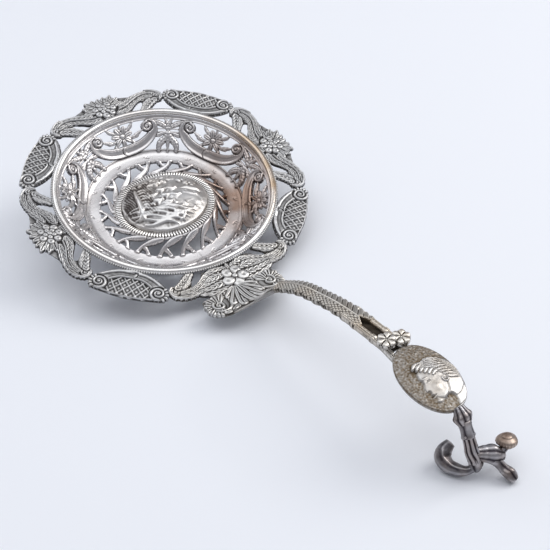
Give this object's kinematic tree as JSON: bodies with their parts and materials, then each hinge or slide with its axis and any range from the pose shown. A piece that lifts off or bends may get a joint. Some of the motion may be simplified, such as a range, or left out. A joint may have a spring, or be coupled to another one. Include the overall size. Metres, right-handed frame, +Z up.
{
  "type": "tea strainer",
  "caption": "Ornate round tea strainer with a pierced bowl, a domed relief boss, a cast scroll and flower border, and an arched handle with an oval medallion and a figural finial.",
  "frame": {"origin": "on the surface that the strainer rests on, under the middle of its bounding box, in its resting pose with the bowl leaning on its flat ring and the finial touching", "axes": "+X from the bowl towards the finial, +Y to the left of someone looking from the bowl along the handle, +Z up"},
  "size_m": [0.1904, 0.0906, 0.0295],
  "materials": {
    "polished_sheet": "worn polish, pierced and chased",
    "rim_silver": "polished, slight warm tarnish",
    "boss_silver": "embossed relief, rubbed bright on the high spots",
    "border_silver": "cast, oxidised in the recesses",
    "handle_silver": "cast and chased, oxidised in the recesses, slight warm tarnish",
    "finial_silver": "cast, darkly oxidised"
  },
  "bodies": {
    "root": {"bowl_shell": "polished_sheet", "rim_wire": "rim_silver", "gadroon_ring": "polished_sheet", "boss_medallion": "boss_silver", "border_cartouche_1": "border_silver", "border_cartouche_2": "border_silver", "border_cartouche_3": "border_silver", "border_cartouche_4": "border_silver", "border_spray_left": "border_silver", "border_spray_far": "border_silver", "border_spray_right": "border_silver", "border_spray_handle": "border_silver", "shell_root": "handle_silver", "handle_stem": "handle_silver", "stem_rail_left": "handle_silver", "stem_rail_right": "handle_silver", "slot_web": "handle_silver", "rosette_left": "handle_silver", "rosette_right": "handle_silver", "portrait_medallion": "handle_silver", "collar": "finial_silver", "waist": "finial_silver", "finial_stem": "finial_silver", "finial_drop": "finial_silver", "finial_hook": "finial_silver", "finial_body": "finial_silver", "finial_button": "finial_silver", "finial_leaf": "finial_silver"}
  },
  "joints": []
}
